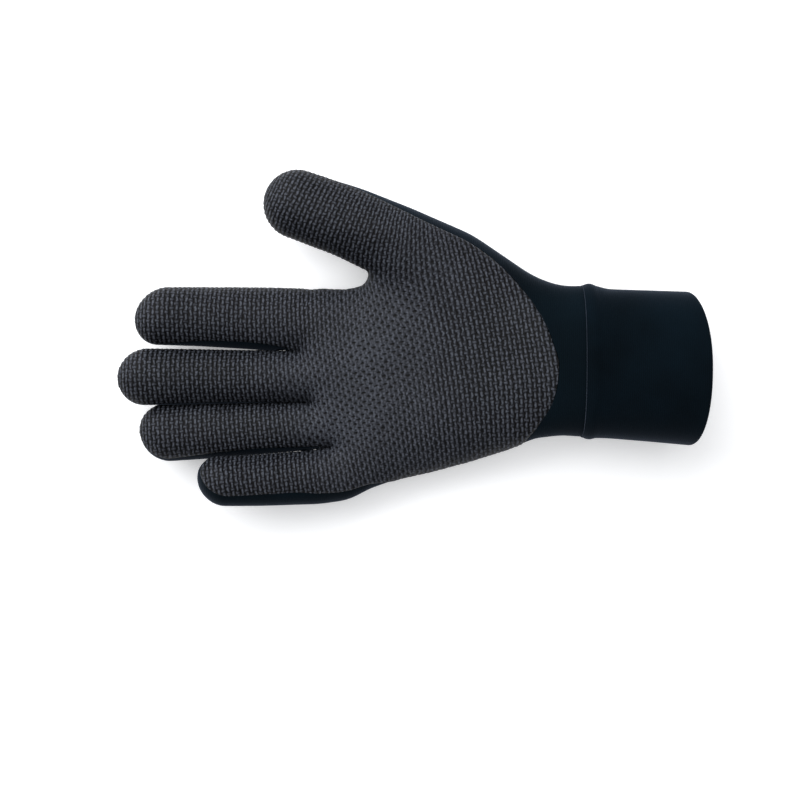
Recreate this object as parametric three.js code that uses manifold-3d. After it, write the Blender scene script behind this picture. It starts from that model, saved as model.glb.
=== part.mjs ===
// Five-finger diving glove for the right hand, lying on its back with the palm up.
// It is sewn from three pieces of closed-cell neoprene: an embossed grip panel over the palm and the
// palm side of every finger, a smooth shell over the back and the sides, and a tubular cuff.
// All of it is one hollow: five finger tubes open into the palm, and the palm into the cuff.
// Millimetres. X runs from the fingertips to the open end of the cuff, Y towards the thumb, Z up out
// of the palm. The glove stands on Z = 0, and its box is centred on X = 0 and Y = 0.
import * as THREE from "three";
import { mergeVertices } from "three/addons/utils/BufferGeometryUtils.js";
import Module from "manifold-3d";

const wasm = await Module();
wasm.setup();

// Material and joints: the wall, the gap between two sewn pieces, the least detail of a cut edge, and
// the slit between two fingers
const WALL = 3;
const SEAM_GAP = 0.3;
const SPECK = 0.01;
const FINGER_SLIT = 0.8;

// Fingers, each from the web beside it to its tip
const INDEX_LENGTH = 77;
const MIDDLE_LENGTH = 86;
const RING_LENGTH = 84.5;
const LITTLE_LENGTH = 66;
const FINGER_WIDTH = 25;
const FINGER_DEPTH = 24;

// Palm, from the web between index and middle finger to the joint of the cuff
const HAND_LENGTH = 131.5;
const PALM_WIDTH = 100;
const PALM_DEPTH = 36;
const PALM_HOLLOW = 2.5;

// Thumb, with the muscle below it. It starts at the centre of its round tip, ahead of the web and
// beside the middle finger's axis, and runs back along the hand while it drops across it.
const THUMB_WIDTH = 31;
const THUMB_DEPTH = 28;
const THUMB_LEAD = 0.5;
const THUMB_SPREAD = 80;
const THUMB_HEIGHT = 28;
const THUMB_RUN = 114;
const THUMB_DROP = 65;

// Cuff: a tube with a raised edge where it is sewn to the hand, and an open end cut a little aslant
const CUFF_LENGTH = 51.5;
const CUFF_WIDTH = 71.5;
const CUFF_DEPTH = 54;
const CUFF_CUT_ANGLE = 8;

// Facets round one finger, and round the palm and the cuff
const FINGER_SIDES = 16;
const PALM_SIDES = 32;

// Fingers, in order from the thumb. setback is how far a root lies behind the first web, as a share of
// the hand's length. across and wide are the place and the width of its lane at the root and the tip,
// and bow how far its middle bulges sideways, as shares of the finger width. lift is the height of its
// axis at the root, as a share of the palm's depth, and rise its climb, as a share of its length.
// The seams are angles round the finger, from the side of the thumb (0) over the palm (90) to the
// side of the little finger (180): the grip panel lies between them.
const FINGERS = [
  { length: INDEX_LENGTH, setback: 0, rootAcross: 1.065, tipAcross: 1.13, rootWide: 1.19,
    tipWide: 1.06, bow: 0.02, lift: 0.39, rise: 0.1, turn: -2, seamThumb: -12, seamLittle: 142 },
  { length: MIDDLE_LENGTH, setback: 0.015, rootAcross: 0, tipAcross: 0, rootWide: 0.95,
    tipWide: 1.03, bow: 0, lift: 0.39, rise: 0.11, turn: 0, seamThumb: -12, seamLittle: 158 },
  { length: RING_LENGTH, setback: 0.07, rootAcross: -0.91, tipAcross: -1.03, rootWide: 0.9,
    tipWide: 1.03, bow: -0.01, lift: 0.37, rise: 0.06, turn: 2, seamThumb: -12, seamLittle: 134 },
  { length: LITTLE_LENGTH, setback: 0.14, rootAcross: -1.84, tipAcross: -1.985, rootWide: 1,
    tipWide: 0.94, bow: -0.05, lift: 0.43, rise: 0.2, turn: 6, seamThumb: -14, seamLittle: 112 },
];

// Sections of a finger: along is its share of the way from root to tip, toTip how far the width has
// gone from the root's to the tip's, spread its share of the distance to the middle finger's axis, and
// seam how far the seam has come up from the side. The last row lies buried in the palm.
const FINGER_SECTIONS = [
  { along: 1, toTip: 1, spread: 1, seam: 0.3 },
  { along: 0.72, toTip: 0.8, spread: 1, seam: 1 },
  { along: 0.4, toTip: 0.45, spread: 1, seam: 1 },
  { along: 0, toTip: 0, spread: 1, seam: 0.8 },
  { along: -0.35, toTip: 0, spread: 0.8, seam: 0.4 },
];

// Sections of the thumb, from its tip to the wrist, as shares of its run, drop, width, depth and height
const THUMB_SECTIONS = [
  { along: 0, drop: 0, wide: 1, deep: 1, high: 1, seamThumb: 4, seamLittle: 196 },
  { along: 0.21, drop: 0.13, wide: 1.03, deep: 1.04, high: 0.93, seamThumb: 26, seamLittle: 196 },
  { along: 0.42, drop: 0.28, wide: 1.13, deep: 1.14, high: 0.84, seamThumb: 40, seamLittle: 190 },
  { along: 0.62, drop: 0.48, wide: 1.34, deep: 1.25, high: 0.74, seamThumb: 40, seamLittle: 185 },
  { along: 0.82, drop: 0.75, wide: 1.46, deep: 1.25, high: 0.68, seamThumb: 28, seamLittle: 180 },
  { along: 1, drop: 1, wide: 1.6, deep: 1.15, high: 0.66, seamThumb: 24, seamLittle: 180 },
];

// Sections of the palm, from the webs to the joint of the cuff: its length, its edges towards the
// thumb and the little finger, its underside and its top, and the dent in the hollow of the hand, as
// shares of their sizes. square is the exponent of the oval, seam the angle on the little finger's side.
const PALM_SECTIONS = [
  { along: -0.011, thumb: 0.15, little: 0.08, low: 0.34, high: 0.48, dent: 0, square: 2, seam: 190 },
  { along: 0.006, thumb: 0.2, little: 0, low: 0.18, high: 0.6, dent: 0, square: 2.2, seam: 190 },
  { along: 0.032, thumb: 0.28, little: -0.11, low: 0.09, high: 0.69, dent: 0, square: 2.4, seam: 190 },
  { along: 0.068, thumb: 0.38, little: -0.23, low: 0.03, high: 0.75, dent: 0, square: 2.6, seam: 190 },
  { along: 0.114, thumb: 0.41, little: -0.32, low: 0, high: 0.79, dent: 0.1, square: 2.8, seam: 190 },
  { along: 0.16, thumb: 0.425, little: -0.42, low: -0.02, high: 0.82, dent: 0.3, square: 2.8, seam: 190 },
  { along: 0.213, thumb: 0.44, little: -0.49, low: -0.03, high: 0.85, dent: 0.5, square: 2.8, seam: 155 },
  { along: 0.26, thumb: 0.47, little: -0.505, low: -0.04, high: 0.87, dent: 0.7, square: 2.8, seam: 160 },
  { along: 0.35, thumb: 0.48, little: -0.48, low: -0.05, high: 0.91, dent: 1, square: 2.8, seam: 184 },
  { along: 0.47, thumb: 0.48, little: -0.445, low: -0.05, high: 0.95, dent: 1, square: 2.7, seam: 190 },
  { along: 0.61, thumb: 0.47, little: -0.395, low: -0.04, high: 1, dent: 1, square: 2.6, seam: 190 },
  { along: 0.74, thumb: 0.445, little: -0.34, low: -0.01, high: 1.06, dent: 0.7, square: 2.4, seam: 190 },
  { along: 0.84, thumb: 0.43, little: -0.288, low: 0.03, high: 1.13, dent: 0.3, square: 2.3, seam: 190 },
  { along: 0.93, thumb: 0.423, little: -0.274, low: 0.06, high: 1.19, dent: 0, square: 2.2, seam: 190 },
  { along: 1, thumb: 0.425, little: -0.28, low: 0.06, high: 1.25, dent: 0, square: 2.2, seam: 190 },
];

// Angles of the palm's seam on the thumb's side, at the webs and at the wrist, between which it rises
const PALM_SEAM_FRONT = -12;
const PALM_SEAM_REAR = 60;

// Sections of the cuff as shares of its length, width and depth. across is the place of its axis
// beside the middle finger's, as a share of its width, and low the height of its underside.
const CUFF_SECTIONS = [
  { along: 0, across: 0.1, wide: 1, deep: 0.85, low: 0.02 },
  { along: 0.1, across: 0.1, wide: 1, deep: 0.88, low: 0 },
  { along: 0.24, across: 0.085, wide: 0.975, deep: 0.9, low: -0.02 },
  { along: 0.6, across: 0.07, wide: 0.985, deep: 0.97, low: -0.02 },
  { along: 1, across: 0.052, wide: 1, deep: 1.02, low: -0.02 },
];
const CUFF_SQUARE = 2.3;

// Rear edge of the grip panel across the heel of the hand, as shares of the hand's length and width
const HEEL_EDGE = [
  { along: 0.6, across: 0.66 },
  { along: 0.675, across: 0.56 },
  { along: 0.78, across: 0.41 },
  { along: 0.85, across: 0.27 },
  { along: 0.9, across: 0.1 },
  { along: 0.905, across: -0.02 },
  { along: 0.88, across: -0.14 },
  { along: 0.83, across: -0.25 },
  { along: 0.78, across: -0.34 },
];

// Exponent of the oval of a finger, and how far the corners of the space over a panel reach out
const FINGER_SQUARE = 2.1;
const FINGER_SHOULDER = 0.5;
const PALM_SHOULDER = 0.95;

// Shares of a quarter turn at which the round tip of a finger has its rings, and how the space over
// its panel narrows ahead of them, as shares of the tip's half width and of the space's own size
const DOME_RINGS = [0.85, 0.6, 0.3];
const PANEL_FRONT = [
  { ahead: 1.25, scale: 0.5 },
  { ahead: 0.6, scale: 0.85 },
];

const DEEP_BLACK = 0x14161c;
const CHARCOAL = 0x3c3e44;

const { degToRad, lerp } = THREE.MathUtils;

// A point of a station's oval, smaller by inset, by its angle from the side of the thumb
function ovalPoint(angle, station, inset = 0) {
  const cosine = Math.cos(angle);
  const sine = Math.sin(angle);
  const power = 2 / station.square;
  const x = Math.sign(cosine) * Math.abs(cosine) ** power;
  const y = Math.sign(sine) * Math.abs(sine) ** power;
  const dent = sine > 0 ? station.hollow * (1 - x ** 2) ** 2 : 0;
  return new THREE.Vector2(
    x * (station.halfWidth - inset),
    y * (station.halfDepth - inset) - dent,
  );
}

// A point of a section set into space at its station. What would sink below the floor lies flat on it.
function setInSpace(point, station, floor) {
  const placed = station.centre.clone();
  placed.addScaledVector(station.side, point.x);
  placed.addScaledVector(station.up, point.y);
  placed.z = Math.max(placed.z, floor);
  return placed;
}

// The whole outline of a station, smaller by inset all round
function wholeRing(station, sides, inset) {
  const ring = [];
  for (let i = 0; i < sides; i += 1) {
    const point = ovalPoint((2 * Math.PI * i) / sides, station, inset);
    ring.push(setInSpace(point, station, inset));
  }
  return ring;
}

// The outline of the space over a station that holds the grip panel. A straight line from seam to seam
// closes it below, and its roof stands clear of the wall without reaching sideways into the next
// finger. It is larger by widen.
function panelRing(station, widen) {
  const turned = widen / station.halfDepth;
  const first = ovalPoint(degToRad(station.seamThumb) - turned, station);
  const last = ovalPoint(degToRad(station.seamLittle) + turned, station);
  const outward = first.clone().sub(last).setLength(FINGER_SLIT / 2);
  first.add(outward);
  last.sub(outward);
  const side = station.halfWidth + FINGER_SLIT / 2 + widen;
  const top = station.halfDepth + WALL;
  const shoulder = station.shoulder * station.halfDepth;
  const roof = station.shoulder * station.halfWidth;
  const ring = [
    first,
    new THREE.Vector2(side, first.y),
    new THREE.Vector2(side, Math.max(shoulder, first.y + FINGER_SLIT)),
    new THREE.Vector2(roof, top),
    new THREE.Vector2(-roof, top),
    new THREE.Vector2(-side, Math.max(shoulder, last.y + FINGER_SLIT)),
    new THREE.Vector2(-side, last.y),
    last,
  ];
  return ring.map((point) => setInSpace(point, station, -Infinity));
}

// A ring moved by an offset, after it has shrunk towards a centre
function movedRing(ring, offset, centre = offset, scale = 1) {
  return ring.map((point) => point.clone().sub(centre).multiplyScalar(scale).add(centre).add(offset));
}

// Gives each station its directions: forward to the cuff, to the thumb's side, and up out of the palm
function orient(stations) {
  const vertical = new THREE.Vector3(0, 0, 1);
  stations.forEach((station, i) => {
    const before = stations[Math.max(i - 1, 0)].centre;
    const after = stations[Math.min(i + 1, stations.length - 1)].centre;
    const turn = degToRad(station.turn ?? 0);
    station.forward = after.clone().sub(before).normalize();
    station.side = vertical.clone().cross(station.forward).normalize();
    station.side.applyAxisAngle(station.forward, turn);
    station.up = station.forward.clone().cross(station.side);
  });
  return stations;
}

// Sections across the hand stand upright, and lean forward over their height where they say so
function standUpright(stations) {
  stations.forEach((station) => {
    station.side = new THREE.Vector3(0, 1, 0);
    station.up = new THREE.Vector3(station.lean ?? 0, 0, 1);
  });
  return stations;
}

// A closed three.js geometry as a solid, and a solid as a geometry
function solidOf(geometry) {
  const bare = geometry.clone();
  bare.deleteAttribute("normal");
  bare.deleteAttribute("uv");
  const merged = mergeVertices(bare, 1e-4);
  const mesh = new wasm.Mesh({
    numProp: 3,
    vertProperties: merged.attributes.position.array,
    triVerts: new Uint32Array(merged.index.array),
  });
  return new wasm.Manifold(mesh);
}

// Corners closer than SPECK become one, and a triangle that has lost its area with them is left out
function geometryOf(solid) {
  const mesh = solid.getMesh();
  const cut = new THREE.BufferGeometry();
  cut.setAttribute("position", new THREE.BufferAttribute(mesh.vertProperties, mesh.numProp));
  cut.setIndex(new THREE.BufferAttribute(mesh.triVerts, 1));
  const geometry = mergeVertices(cut, SPECK);
  const corners = geometry.index.array;
  const kept = [];
  for (let i = 0; i < corners.length; i += 3) {
    const triangle = [corners[i], corners[i + 1], corners[i + 2]];
    if (new Set(triangle).size === 3) kept.push(...triangle);
  }
  geometry.setIndex(kept);
  geometry.computeVertexNormals();
  return geometry;
}

function centreOf(ring) {
  const sum = new THREE.Vector3();
  ring.forEach((point) => sum.add(point));
  return sum.divideScalar(ring.length);
}

// A closed solid through rings of equal size, closed by a pole at each end
function loft(rings, firstPole = centreOf(rings[0])) {
  const sides = rings[0].length;
  const triangles = [];
  const lastStart = (rings.length - 1) * sides;
  const poles = rings.length * sides;
  for (let i = 0; i < sides; i += 1) {
    const next = (i + 1) % sides;
    for (let start = 0; start < lastStart; start += sides) {
      const a = start + i;
      const b = start + next;
      triangles.push(a, b, b + sides, a, b + sides, a + sides);
    }
    triangles.push(poles, next, i, poles + 1, lastStart + i, lastStart + next);
  }
  const points = [...rings.flat(), firstPole, centreOf(rings.at(-1))];
  return solidOf(new THREE.BufferGeometry().setFromPoints(points).setIndex(triangles));
}

function united(solids) {
  return solids.reduce((all, solid) => all.add(solid));
}

// A finger or the thumb: a tube with a round tip, smaller by inset all round
function fingerTube(stations, inset) {
  const tip = stations[0];
  const rings = stations.map((station) => wholeRing(station, FINGER_SIDES, inset));
  const reach = tip.halfWidth - inset;
  const dome = DOME_RINGS.map((share) => {
    const turn = (share * Math.PI) / 2;
    const offset = tip.forward.clone().multiplyScalar(-reach * Math.sin(turn));
    return movedRing(rings[0], offset, tip.centre, Math.cos(turn));
  });
  const pole = tip.centre.clone().addScaledVector(tip.forward, -reach);
  return loft([...dome, ...rings], pole);
}

// The space over the palm side of a finger, which narrows past its round tip
function fingerPanel(stations, widen) {
  const tip = stations[0];
  const rings = stations.map((station) => panelRing(station, widen));
  const front = PANEL_FRONT.map((place) => {
    const offset = tip.forward.clone().multiplyScalar(-place.ahead * tip.halfWidth);
    return movedRing(rings[0], offset, tip.centre, place.scale);
  });
  const rear = movedRing(rings.pop(), tip.forward.clone().multiplyScalar(widen));
  return loft([...front, ...rings, rear]);
}

// The space over the palm side of the hand, larger by widen at its front too
function palmPanel(stations, widen) {
  const rings = stations.map((station) => panelRing(station, widen));
  const front = movedRing(rings.shift(), new THREE.Vector3(-widen, 0, 0));
  return loft([front, ...rings]);
}

// A wide tube, smaller by inset, which reaches past its front and rear end by the given lengths
function wideTube(stations, inset, frontReach, rearReach) {
  const rings = stations.map((station) => wholeRing(station, PALM_SIDES, inset));
  if (rearReach) rings.push(movedRing(rings.at(-1), new THREE.Vector3(rearReach, 0, 0)));
  if (frontReach) rings.unshift(movedRing(rings[0], new THREE.Vector3(-frontReach, 0, 0)));
  return loft(rings);
}

function fingerStations(finger) {
  const tipHalfWidth = (finger.tipWide * FINGER_WIDTH - FINGER_SLIT) / 2;
  const reach = finger.length - tipHalfWidth;
  const root = finger.setback * HAND_LENGTH;
  const stations = FINGER_SECTIONS.map((section) => {
    const bulge = finger.bow * 4 * section.along * (1 - section.along);
    const bow = section.along > 0 ? bulge : 0;
    const across = lerp(finger.rootAcross, finger.tipAcross, section.along) * section.spread;
    const wide = lerp(finger.rootWide, finger.tipWide, section.toTip);
    const climb = finger.rise * finger.length * Math.max(section.along, 0) ** 1.5;
    return {
      centre: new THREE.Vector3(
        root - section.along * reach,
        FINGER_WIDTH * (across + bow),
        finger.lift * PALM_DEPTH + climb,
      ),
      halfWidth: (wide * FINGER_WIDTH - FINGER_SLIT) / 2,
      halfDepth: FINGER_DEPTH / 2,
      square: FINGER_SQUARE,
      shoulder: FINGER_SHOULDER,
      hollow: 0,
      turn: finger.turn,
      seamThumb: finger.seamThumb,
      seamLittle: lerp(180, finger.seamLittle, section.seam),
    };
  });
  return orient(stations);
}

function thumbStations() {
  const stations = THUMB_SECTIONS.map((section) => ({
    centre: new THREE.Vector3(
      section.along * THUMB_RUN - THUMB_LEAD,
      THUMB_SPREAD - section.drop * THUMB_DROP,
      section.high * THUMB_HEIGHT,
    ),
    halfWidth: (section.wide * THUMB_WIDTH) / 2,
    halfDepth: (section.deep * THUMB_DEPTH) / 2,
    square: FINGER_SQUARE,
    shoulder: FINGER_SHOULDER,
    hollow: 0,
    seamThumb: section.seamThumb,
    seamLittle: section.seamLittle,
  }));
  return orient(stations);
}

function palmStations() {
  const stations = PALM_SECTIONS.map((section) => ({
    centre: new THREE.Vector3(
      section.along * HAND_LENGTH,
      ((section.thumb + section.little) / 2) * PALM_WIDTH,
      ((section.low + section.high) / 2) * PALM_DEPTH,
    ),
    halfWidth: ((section.thumb - section.little) / 2) * PALM_WIDTH,
    halfDepth: ((section.high - section.low) / 2) * PALM_DEPTH,
    square: section.square,
    shoulder: PALM_SHOULDER,
    hollow: section.dent * PALM_HOLLOW,
    seamThumb: lerp(PALM_SEAM_FRONT, PALM_SEAM_REAR, section.along ** 3),
    seamLittle: section.seam,
  }));
  return standUpright(stations);
}

function cuffStations() {
  const slope = Math.tan(degToRad(CUFF_CUT_ANGLE));
  const stations = CUFF_SECTIONS.map((section) => {
    const halfDepth = (section.deep * CUFF_DEPTH) / 2;
    return {
      centre: new THREE.Vector3(
        HAND_LENGTH + SEAM_GAP + section.along * CUFF_LENGTH,
        section.across * CUFF_WIDTH,
        section.low * CUFF_DEPTH + halfDepth,
      ),
      halfWidth: (section.wide * CUFF_WIDTH) / 2,
      halfDepth,
      square: CUFF_SQUARE,
      hollow: 0,
      lean: section.along * slope,
    };
  });
  return standUpright(stations);
}

const fingerChains = [...FINGERS.map(fingerStations), thumbStations()];
const palmChain = palmStations();
const cuffChain = cuffStations();

// The wall of the hand: its outer form less the same form smaller by the wall, open at the wrist. The
// hollow of the palm starts where a section is deep enough for two walls and a space between them.
function handWall() {
  const outerFingers = fingerChains.map((chain) => fingerTube(chain, 0));
  const innerFingers = fingerChains.map((chain) => fingerTube(chain, WALL));
  const hollowChain = palmChain.filter((station) => station.halfDepth > 3 * WALL);
  const outer = united([wideTube(palmChain, 0, 0, 0), ...outerFingers]);
  const inner = united([wideTube(hollowChain, WALL, 0, WALL), ...innerFingers]);
  return outer.subtract(inner);
}

// All of the hand in front of the rear edge of the grip panel, which lies further back by widen
function frontOfHeel(widen) {
  const places = HEEL_EDGE.map(
    (point) => new THREE.Vector2(point.along * HAND_LENGTH, point.across * PALM_WIDTH),
  );
  const curve = new THREE.SplineCurve(places);
  const steps = 3 * (places.length - 1);
  const edge = [];
  for (let i = 0; i <= steps; i += 1) {
    const tangent = curve.getTangent(i / steps);
    const outward = new THREE.Vector2(-tangent.y, tangent.x).multiplyScalar(widen);
    edge.push(curve.getPoint(i / steps).add(outward));
  }
  const front = -2 * MIDDLE_LENGTH;
  const side = 2 * THUMB_SPREAD;
  const outline = [
    ...edge,
    new THREE.Vector2(edge.at(-1).x, -side),
    new THREE.Vector2(front, -side),
    new THREE.Vector2(front, side),
    new THREE.Vector2(edge[0].x, side),
  ];
  const height = 4 * PALM_DEPTH;
  const block = new THREE.ExtrudeGeometry(new THREE.Shape(outline), {
    depth: height,
    bevelEnabled: false,
  });
  return solidOf(block.translate(0, 0, -height / 4));
}

// The space that holds the grip panel
function panelZone(widen) {
  const fingers = fingerChains.map((chain) => fingerPanel(chain, widen));
  return united([palmPanel(palmChain, widen), ...fingers]).intersect(frontOfHeel(widen));
}

function cuffTube() {
  return wideTube(cuffChain, 0, 0, 0).subtract(wideTube(cuffChain, WALL, WALL, WALL));
}

function piece(name, solid, color, roughness) {
  const material = new THREE.MeshStandardMaterial({ color, roughness, metalness: 0 });
  const mesh = new THREE.Mesh(geometryOf(solid), material);
  mesh.name = name;
  return mesh;
}

const hand = handWall();
const assembly = new THREE.Group();
assembly.add(piece("palm_panel", hand.intersect(panelZone(0)), CHARCOAL, 0.65));
assembly.add(piece("back_shell", hand.subtract(panelZone(SEAM_GAP)), DEEP_BLACK, 0.8));
assembly.add(piece("cuff", cuffTube(), DEEP_BLACK, 0.8));

// The box of the glove is centred on the origin
const box = new THREE.Box3().setFromObject(assembly, true);
const middle = box.getCenter(new THREE.Vector3());
assembly.position.set(-middle.x, -middle.y, 0);

const glove = new THREE.Group();
glove.add(assembly);
export default glove;
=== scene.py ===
"""Looks of a five-finger diving glove for the right hand, lying on its back with the palm up.

The hand is one smooth skin over five finger tubes and the palm. It is cut along the seam into an
embossed grip panel and a jersey-faced shell, and a knitted tube is sewn on as the cuff.
Shapes are worked out in millimetres, in the hand's own coordinates: X = 0 at the web between index and
middle finger, Y = 0 on the middle finger's axis. Every finished mesh is moved into the row's frame.
"""

import math

import bpy
import numpy as np
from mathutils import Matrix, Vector


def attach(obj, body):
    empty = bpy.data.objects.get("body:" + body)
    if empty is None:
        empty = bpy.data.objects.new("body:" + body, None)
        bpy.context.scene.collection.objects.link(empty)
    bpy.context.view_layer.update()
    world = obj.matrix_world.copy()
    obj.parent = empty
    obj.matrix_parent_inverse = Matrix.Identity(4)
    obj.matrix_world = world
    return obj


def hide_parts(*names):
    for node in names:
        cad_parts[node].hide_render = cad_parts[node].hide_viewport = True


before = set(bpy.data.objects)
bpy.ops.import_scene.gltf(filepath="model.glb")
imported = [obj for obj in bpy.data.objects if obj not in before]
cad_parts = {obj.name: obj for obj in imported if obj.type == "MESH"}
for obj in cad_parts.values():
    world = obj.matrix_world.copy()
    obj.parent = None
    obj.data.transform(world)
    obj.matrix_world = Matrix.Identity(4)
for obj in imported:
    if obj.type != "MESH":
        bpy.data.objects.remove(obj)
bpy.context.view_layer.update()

MM = 0.001
ROW_SHIFT = np.array([-51.592, -17.149, 0.0])

# Sizes of the hand, as in the solids
WALL = 3.0
FINGER_SLIT = 0.3
FINGER_WIDTH = 25.0
FINGER_DEPTH = 24.0
HAND_LENGTH = 131.5
PALM_WIDTH = 100.0
PALM_DEPTH = 36.0
PALM_HOLLOW = 2.5
THUMB_WIDTH = 31.0
THUMB_DEPTH = 28.0
THUMB_LEAD = 0.5
THUMB_SPREAD = 80.0
THUMB_HEIGHT = 28.0
THUMB_RUN = 114.0
THUMB_DROP = 65.0
CUFF_LENGTH = 51.5
CUFF_WIDTH = 71.5
CUFF_DEPTH = 54.0
CUFF_CUT_ANGLE = math.radians(8)
SEAM_GAP = 0.3

# Fingers from the thumb's side: length, setback, root and tip across, root and tip width, bow, lift,
# rise, turn, seam angles, share of the little finger's side seam that is left at the tip
FINGERS = [
    (77, 0, 1.058, 1.13, 1.202, 1.06, 0.02, 0.39, 0.1, -2, -12, 142, 0.35),
    (86.7, 0.015, 0, -0.01, 0.96, 1.05, 0, 0.39, 0.11, 0, -12, 158, 0.7),
    (84.5, 0.07, -0.91, -1.05, 0.9, 1.08, -0.01, 0.37, 0.06, 2, -12, 134, 0.6),
    (65.5, 0.14, -1.828, -1.95, 1.046, 0.9, -0.04, 0.43, 0.2, 6, -14, 112, 0.94),
]
# along, toTip, spread, seam
FINGER_SECTIONS = [
    (1, 1, 1, 1),
    (0.72, 0.8, 1, 1),
    (0.4, 0.45, 1, 1),
    (0, 0, 1, 0.8),
    (-0.35, 0, 0.8, 0.4),
]
# along, drop, wide, deep, high, seamThumb, seamLittle
THUMB_SECTIONS = [
    (0, 0, 1, 1, 1, 4, 196),
    (0.21, 0.122, 1.06, 1.04, 0.93, 26, 196),
    (0.42, 0.28, 1.13, 1.14, 0.84, 40, 190),
    (0.62, 0.48, 1.34, 1.25, 0.74, 40, 185),
    (0.82, 0.75, 1.46, 1.25, 0.68, 28, 180),
    (1, 1, 1.6, 1.15, 0.66, 24, 180),
]
# along, thumb, little, low, high, dent, square, seam
PALM_SECTIONS = [
    (-0.011, 0.15, 0.08, 0.34, 0.48, 0, 2, 190),
    (0.006, 0.2, 0, 0.18, 0.6, 0, 2.2, 190),
    (0.032, 0.392, -0.11, 0.09, 0.69, 0, 2.4, 190),
    (0.068, 0.412, -0.23, 0.03, 0.75, 0, 2.6, 190),
    (0.114, 0.412, -0.32, 0, 0.79, 0.1, 2.8, 190),
    (0.16, 0.41, -0.42, -0.02, 0.82, 0.3, 2.8, 190),
    (0.213, 0.423, -0.49, -0.03, 0.85, 0.5, 2.8, 155),
    (0.238, 0.44, -0.5, -0.035, 0.86, 0.6, 2.8, 157),
    (0.258, 0.5, -0.505, -0.04, 0.87, 0.7, 2.8, 160),
    (0.29, 0.53, -0.5, -0.045, 0.89, 0.8, 2.8, 170),
    (0.35, 0.5, -0.48, -0.05, 0.91, 1, 2.8, 184),
    (0.47, 0.48, -0.445, -0.05, 0.95, 1, 2.7, 190),
    (0.61, 0.47, -0.395, -0.04, 1, 1, 2.6, 190),
    (0.74, 0.445, -0.34, -0.01, 1.06, 0.7, 2.4, 190),
    (0.84, 0.43, -0.288, 0.03, 1.13, 0.3, 2.3, 190),
    (0.93, 0.423, -0.274, 0.06, 1.19, 0, 2.2, 190),
    (1, 0.425, -0.28, 0.06, 1.25, 0, 2.2, 190),
    (1.05, 0.425, -0.28, 0.06, 1.27, 0, 2.2, 190),
]
PALM_SEAM_FRONT = -12
PALM_SEAM_REAR = 60
# along, across, wide, deep, low
CUFF_SECTIONS = [
    (0, 0.1, 1, 0.85, 0.02),
    (0.1, 0.1, 1, 0.88, 0),
    (0.24, 0.085, 0.975, 0.9, -0.02),
    (0.6, 0.07, 0.985, 0.97, -0.02),
    (1, 0.052, 1, 1.02, -0.02),
]
CUFF_SQUARE = 2.3
# Rear edge of the grip panel: along, across
HEEL_EDGE = [
    (0.6, 0.66),
    (0.675, 0.56),
    (0.78, 0.41),
    (0.85, 0.27),
    (0.9, 0.1),
    (0.905, -0.02),
    (0.88, -0.14),
    (0.83, -0.25),
    (0.78, -0.34),
]
FINGER_SQUARE = 2.1

# The skin: spacing of its net, how far a point moves at once as it settles, how widely two forms blend
# where they meet, and how far the fingers are spread while the net is made, so that it stays apart in the
# narrow slits between them
NET_STEP = 1.4
LONGEST_MOVE = 1.5
FINGER_BLEND = 3.4
THUMB_BLEND = 7.5
SPREAD_STEP = 0.12
FLOOR_EASE = 1.0
FAR = 40.0
# How far inside the panel its stretched sheet bridges the hollows, from and to, and how often it is eased
FAIR_FROM = 2.0
FAIR_TO = 14.0
FAIR_ROUNDS = 420
# Where two forms meet, how gradually one's seam passes into the other's, and how round the seam's corner
# is where it meets the heel's edge
SEAM_MIX = 1.6
HEEL_ROUND = 4.0

# Weave of the grip panel: columns of long bars across the fingers, and rows along them. The bar's half
# width is in columns and its half length in two rows, as is the tie's offset and height.
COLUMN_PITCH = 2.06
ROW_PITCH = 2.03
BAR_HALF_WIDTH = 0.36
BAR_HALF_LENGTH = 0.41
TIE_OFFSET = 0.1
TIE_REACH = 0.62
TIE_HALF = 0.21
TIE_HEIGHT = 0.85
YARN_BLEND = 0.1
# How full a yarn is in section: the power of its fall from the crest
ROUND = 2.0
TIE_ROUND = 2.6
BLUNT = 3.0
# How far the yarns wander in millimetres, with a bend about every 2.5 mm
UNEVEN = 1.2
WANDER_SCALE = 0.4
# Level and dashes of the skin where the rows lead, and how much of it shows there
SMOOTH_LEVEL = 0.86
DASH_DEPTH = 0.95
DASH_HALF = 0.27
LEAD_SHARE = 0.74


def unit(vectors):
    return vectors / np.maximum(np.linalg.norm(vectors, axis=-1, keepdims=True), 1e-9)


def softened(table, rounds):
    """The table evened out along its length, with its ends drawn on straight."""
    for _ in range(rounds):
        padded = np.concatenate([[2 * table[0] - table[1]], table, [2 * table[-1] - table[-2]]])
        table = 0.25 * padded[:-2] + 0.5 * padded[1:-1] + 0.25 * padded[2:]
    return table


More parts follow.
